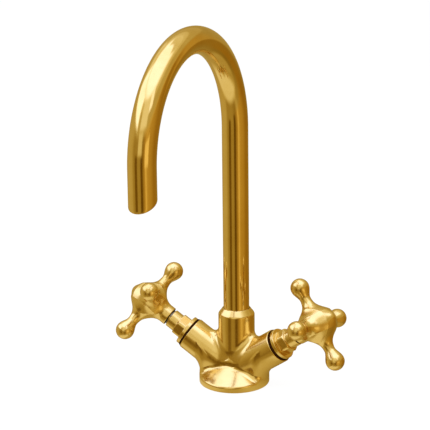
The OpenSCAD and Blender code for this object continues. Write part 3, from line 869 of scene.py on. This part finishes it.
IMAGE = 430
SENSOR = 36.0
CAMERA_AZIMUTH = math.radians(24.96)
CAMERA_ELEVATION = math.radians(14.99)
CAMERA_ROLL = math.radians(-0.65)
CAMERA_FOCUS = 1601.03
CAMERA_DISTANCE = 1158.77
CAMERA_RIGHT = -13.05
CAMERA_HEIGHT = 128.31
# The nearest and farthest that the camera sees, in metres.
CAMERA_CLIP = (0.05, 50)


def camera_axes():
    """The level right, then the camera's back, right and up."""
    az, el = CAMERA_AZIMUTH, CAMERA_ELEVATION
    right = np.array([math.cos(az), math.sin(az), 0.0])
    back = np.array([math.cos(el) * math.sin(az), -math.cos(el) * math.cos(az), math.sin(el)])
    up = np.cross(back, right)
    cos, sin = math.cos(CAMERA_ROLL), math.sin(CAMERA_ROLL)
    return right, back, cos * right + sin * up, cos * up - sin * right


def make_camera():
    level_right, back, right, up = camera_axes()
    target = CAMERA_RIGHT * level_right + np.array([0, 0, CAMERA_HEIGHT])
    place = target + CAMERA_DISTANCE * back
    data = bpy.data.cameras.new("camera")
    data.sensor_width = SENSOR
    data.sensor_fit = "HORIZONTAL"
    data.lens = CAMERA_FOCUS * SENSOR / IMAGE
    data.clip_start, data.clip_end = CAMERA_CLIP
    data.dof.use_dof = False
    camera = bpy.data.objects.new("camera", data)
    matrix = np.eye(4)
    matrix[:3, 0], matrix[:3, 1], matrix[:3, 2], matrix[:3, 3] = right, up, back, place * MM
    camera.matrix_world = Matrix(matrix.tolist())
    bpy.context.scene.collection.objects.link(camera)
    bpy.context.scene.camera = camera


# The lamps: azimuth, elevation, distance, width and height in metres, and power in watts.

LAMPS = {
    "overhead_box": (-10, 74, 1.5, (1.6, 1.2), 22),
    "left_box": (-75, 35, 1.5, (0.5, 1.0), 7),
}
LAMP_COLOR = (0.96, 1.0, 1.02)
LAMP_TARGET = (0, -0.04, 0.1)


def room_direction(azimuth, elevation):
    """A unit vector: azimuth 0 is the camera's side, and azimuth grows towards the image's right."""
    az = CAMERA_AZIMUTH + math.radians(azimuth)
    el = math.radians(elevation)
    return Vector((math.cos(el) * math.sin(az), -math.cos(el) * math.cos(az), math.sin(el)))


def make_lamp(name, azimuth, elevation, distance, size, power):
    data = bpy.data.lights.new(name, "AREA")
    data.shape = "RECTANGLE"
    data.size, data.size_y = size
    data.energy = power
    data.color = LAMP_COLOR
    obj = bpy.data.objects.new(name, data)
    toward = room_direction(azimuth, elevation)
    obj.location = Vector(LAMP_TARGET) + toward * distance
    obj.rotation_euler = toward.to_track_quat("Z", "Y").to_euler()
    obj.visible_glossy = False
    bpy.context.scene.collection.objects.link(obj)


# The room that only shiny rays see, with levels set by comparing renders with the photograph.

# Near the horizon, as (azimuth, brightness). Azimuth 0 is the camera's side.
HORIZON = [
    (-180, 0.42), (-150, 0.50), (-110, 0.60), (-84, 0.57), (-66, 0.36), (-24, 0.38), (10, 0.27), (32, 0.58),
    (50, 0.43), (70, 0.40), (100, 0.25), (130, 0.25), (180, 0.42),
]

# Screens round the tap, laid one over the other: azimuth, elevation, half width, half height, brightness.
SCREENS = {
    "table_right": (150, -75, 75, 30, 0.50),
    "table_left": (-45, -75, 105, 28, 1.05),
    "walls": (0, 35, 400, 18, 0.60),
    "upper_walls": (0, 47, 400, 8, 0.85),
    "ceiling": (0, 90, 400, 38, 2.15),
    "rear_beam": (142, 56, 36, 8, 1.00),
    "rear_low": (150, 9, 38, 13, 0.44),
    "left_window": (-92, 37, 36, 15, 2.10),
    "rear_window": (-145, 42, 16, 12, 1.10),
    "front_fill": (-8, 38, 26, 14, 1.15),
    "right_window": (30, 44, 11, 10, 1.75),
    "dark_post": (-46, -11, 10, 12, 0.13),
    "dark_frame": (-2, -14, 8, 15, 0.10),
    "lit_strip": (31, -14, 5, 16, 0.72),
    "low_window": (-18, 12, 15, 10, 0.95),
    "low_lamp": (36, 0, 14, 9, 1.05),
}
SCREEN_EDGE = 0.2

# The table close to the base, as (azimuth, brightness).
NEAR_TABLE = [
    (-180, 0.36), (-125, 0.46), (-75, 0.90), (-42, 0.88), (-28, 0.70), (-14, 0.57), (6, 0.57), (24, 0.69),
    (36, 0.68), (48, 0.63), (62, 0.57), (85, 0.38), (105, 0.26), (125, 0.18), (155, 0.18), (180, 0.40),
]
# How far from the middle, in metres, the near table starts to fade and ends.
NEAR_TABLE_R = (0.036, 0.050)
NEAR_TABLE_STEPS = 64

# A brightness becomes a colour by these powers for red, green and blue, and then a tint.
COLOR_POWERS = (0.75, 1.0, 2.05)
ROOM_TINT = (0.90, 0.80, 0.57)
# The right side of the room is warmer: a tint, and azimuth, elevation, half width and half height.
WARM_TINT = (1.06, 0.80, 0.36)
WARM_SIDE = (72, -6, 60, 26)

# What lights the surfaces that aren't shiny, and the white that the camera sees.
ROOM_STRENGTH = 0.6
WHITE_STRENGTH = 1.0

FLOOR_HALF = 3.0
FLOOR_COLOR = (0.8, 0.8, 0.79)
FLOOR_ROUGHNESS = 0.9
FLOOR_GLOW = 1.06
FLOOR_GLOW_SHARE = 0.9
DEGREES = 180 / math.pi


def math_node(tree, operation, a, b=None):
    node = tree.nodes.new("ShaderNodeMath")
    node.operation = operation
    for socket, value in zip(node.inputs, (a, b)):
        if value is None:
            continue
        if isinstance(value, (int, float)):
            socket.default_value = value
        else:
            tree.links.new(value, socket)
    return node.outputs[0]


def mixed(tree, share, below, above):
    """One shader laid over another by a share."""
    mix = tree.nodes.new("ShaderNodeMixShader")
    tree.links.new(share, mix.inputs["Fac"])
    tree.links.new(below, mix.inputs[1])
    tree.links.new(above, mix.inputs[2])
    return mix.outputs[0]


def ray_kinds(tree):
    """Whether a ray is a glossy or transmission ray, and whether it comes from the camera."""
    path = tree.nodes.new("ShaderNodeLightPath")
    shiny = math_node(tree, "MAXIMUM", path.outputs["Is Glossy Ray"], path.outputs["Is Transmission Ray"])
    return shiny, path.outputs["Is Camera Ray"]


def away(tree, value, centre, half):
    """How far a value lies from a centre, as a share of the half width."""
    offset = math_node(tree, "ABSOLUTE", math_node(tree, "SUBTRACT", value, centre))
    return math_node(tree, "DIVIDE", offset, half)


def screen_mask(tree, azimuth, elevation, az, el, half_width, half_height):
    """One inside a patch of the room, and zero outside, with a soft edge."""
    turned = math_node(tree, "WRAP", azimuth, az + 180)
    turned.node.inputs[2].default_value = az - 180
    across = away(tree, turned, az, half_width)
    out = math_node(tree, "MAXIMUM", across, away(tree, elevation, el, half_height))
    mask = tree.nodes.new("ShaderNodeMapRange")
    mask.interpolation_type = "SMOOTHSTEP"
    mask.inputs["From Min"].default_value = 1 + SCREEN_EDGE
    mask.inputs["From Max"].default_value = 1 - SCREEN_EDGE
    tree.links.new(out, mask.inputs["Value"])
    return mask.outputs["Result"]


def lay_screen(tree, below, azimuth, elevation, screen):
    """Lays a screen over the brightness that is already there."""
    *place, brightness = screen
    mix = tree.nodes.new("ShaderNodeMix")
    tree.links.new(screen_mask(tree, azimuth, elevation, *place), mix.inputs["Factor"])
    tree.links.new(below, mix.inputs["A"])
    mix.inputs["B"].default_value = brightness
    return mix.outputs["Result"]


def background(tree, strength):
    node = tree.nodes.new("ShaderNodeBackground")
    node.inputs["Color"].default_value = (1, 1, 1, 1)
    node.inputs["Strength"].default_value = strength
    return node


def azimuth_round(tree, vector):
    """A vector's azimuth from the camera's side, in degrees, and its height."""
    turn = tree.nodes.new("ShaderNodeMapping")
    turn.inputs["Rotation"].default_value = (0, 0, -CAMERA_AZIMUTH)
    tree.links.new(vector, turn.inputs["Vector"])
    split = tree.nodes.new("ShaderNodeSeparateXYZ")
    tree.links.new(turn.outputs["Vector"], split.inputs["Vector"])
    toward_camera = math_node(tree, "MULTIPLY", split.outputs["Y"], -1.0)
    angle = math_node(tree, "ARCTAN2", split.outputs["X"], toward_camera)
    return math_node(tree, "MULTIPLY", angle, DEGREES), split.outputs["Z"]


def light_round(tree, azimuth, stops):
    """Brightness by azimuth, from a list of (azimuth, brightness)."""
    place = math_node(tree, "ADD", math_node(tree, "DIVIDE", azimuth, 360.0), 0.5)
    return ramp(tree, place, [(az / 360 + 0.5, (b, b, b)) for az, b in stops])


def room_color(tree, light, warm=None):
    """Bright parts of the room are cool and dim ones warm. Warm is how far the warmer tint counts."""
    color = tree.nodes.new("ShaderNodeCombineColor")
    for socket, power in zip(color.inputs, COLOR_POWERS):
        tree.links.new(math_node(tree, "POWER", light, power), socket)
    tinted = tree.nodes.new("ShaderNodeVectorMath")
    tinted.operation = "MULTIPLY"
    tinted.inputs[1].default_value = ROOM_TINT
    tree.links.new(color.outputs["Color"], tinted.inputs[0])
    if warm is not None:
        tree.links.new(ramp(tree, warm, [(0, ROOM_TINT), (1, WARM_TINT)]), tinted.inputs[1])
    return tinted.outputs["Vector"]


def make_world():
    """Shiny rays see the fitted room, the camera sees white, and all other rays see a plain light."""
    world = bpy.data.worlds.new("studio")
    bpy.context.scene.world = world
    world.use_nodes = True
    tree = world.node_tree
    tree.nodes.clear()
    azimuth, up = azimuth_round(tree, tree.nodes.new("ShaderNodeTexCoord").outputs["Generated"])
    elevation = math_node(tree, "MULTIPLY", math_node(tree, "ARCSINE", up), DEGREES)
    light = light_round(tree, azimuth, HORIZON)
    for screen in SCREENS.values():
        light = lay_screen(tree, light, azimuth, elevation, screen)
    warm = screen_mask(tree, azimuth, elevation, *WARM_SIDE)
    metal = background(tree, 1.0)
    tree.links.new(room_color(tree, light, warm), metal.inputs["Color"])
    shiny, camera = ray_kinds(tree)
    unseen = mixed(tree, shiny, background(tree, ROOM_STRENGTH).outputs[0], metal.outputs[0])
    whole = mixed(tree, camera, unseen, background(tree, WHITE_STRENGTH).outputs[0])
    output = tree.nodes.new("ShaderNodeOutputWorld")
    tree.links.new(whole, output.inputs["Surface"])


def make_floor():
    """A pale floor that is white to the camera and keeps a soft shadow. Glossy rays pass it by."""
    h = FLOOR_HALF
    mesh = bpy.data.meshes.new("floor")
    mesh.from_pydata([(-h, -h, 0), (h, -h, 0), (h, h, 0), (-h, h, 0)], [], [(0, 1, 2, 3)])
    floor = bpy.data.objects.new("floor", mesh)
    bpy.context.scene.collection.objects.link(floor)
    material, tree, shader = principled("floor", FLOOR_COLOR, 0, FLOOR_ROUGHNESS)
    glow = tree.nodes.new("ShaderNodeEmission")
    glow.inputs["Strength"].default_value = FLOOR_GLOW
    shiny, camera = ray_kinds(tree)
    share = math_node(tree, "MULTIPLY", math_node(tree, "MAXIMUM", shiny, camera), FLOOR_GLOW_SHARE)
    whole = mixed(tree, share, shader.outputs[0], glow.outputs[0])
    tree.links.new(whole, tree.nodes["Material Output"].inputs["Surface"])
    mesh.materials.append(material)
    floor.visible_glossy = False


def near_table_material():
    material, tree = new_material("near_table")
    coords = tree.nodes.new("ShaderNodeTexCoord").outputs["Object"]
    azimuth, _ = azimuth_round(tree, coords)
    glow = tree.nodes.new("ShaderNodeEmission")
    tree.links.new(room_color(tree, light_round(tree, azimuth, NEAR_TABLE)), glow.inputs["Color"])
    length = tree.nodes.new("ShaderNodeVectorMath")
    length.operation = "LENGTH"
    tree.links.new(coords, length.inputs[0])
    fade = tree.nodes.new("ShaderNodeMapRange")
    fade.interpolation_type = "SMOOTHSTEP"
    fade.inputs["From Min"].default_value, fade.inputs["From Max"].default_value = NEAR_TABLE_R
    tree.links.new(length.outputs["Value"], fade.inputs["Value"])
    clear = tree.nodes.new("ShaderNodeBsdfTransparent")
    whole = mixed(tree, fade.outputs["Result"], glow.outputs[0], clear.outputs[0])
    tree.links.new(whole, tree.nodes["Material Output"].inputs["Surface"])
    return material


def make_near_table():
    """The table round the base as the metal sees it. The camera and diffuse rays don't see it."""
    ring = []
    for i in range(NEAR_TABLE_STEPS):
        a = 2 * math.pi * i / NEAR_TABLE_STEPS
        ring.append((NEAR_TABLE_R[1] * math.cos(a), NEAR_TABLE_R[1] * math.sin(a), 0))
    mesh = bpy.data.meshes.new("near_table")
    mesh.from_pydata(ring, [], [tuple(range(NEAR_TABLE_STEPS))])
    table = bpy.data.objects.new("near_table", mesh)
    bpy.context.scene.collection.objects.link(table)
    mesh.materials.append(near_table_material())
    for ray in ("camera", "diffuse", "shadow"):
        setattr(table, "visible_" + ray, False)


def make_scene():
    bpy.context.scene.view_settings.view_transform = "Standard"
    dress_cad_nodes()
    build_body()
    build_bonnets()
    build_crosses()
    build_seals()
    build_spout()
    make_camera()
    make_world()
    make_floor()
    make_near_table()
    for name, place in LAMPS.items():
        make_lamp(name, *place)


make_scene()
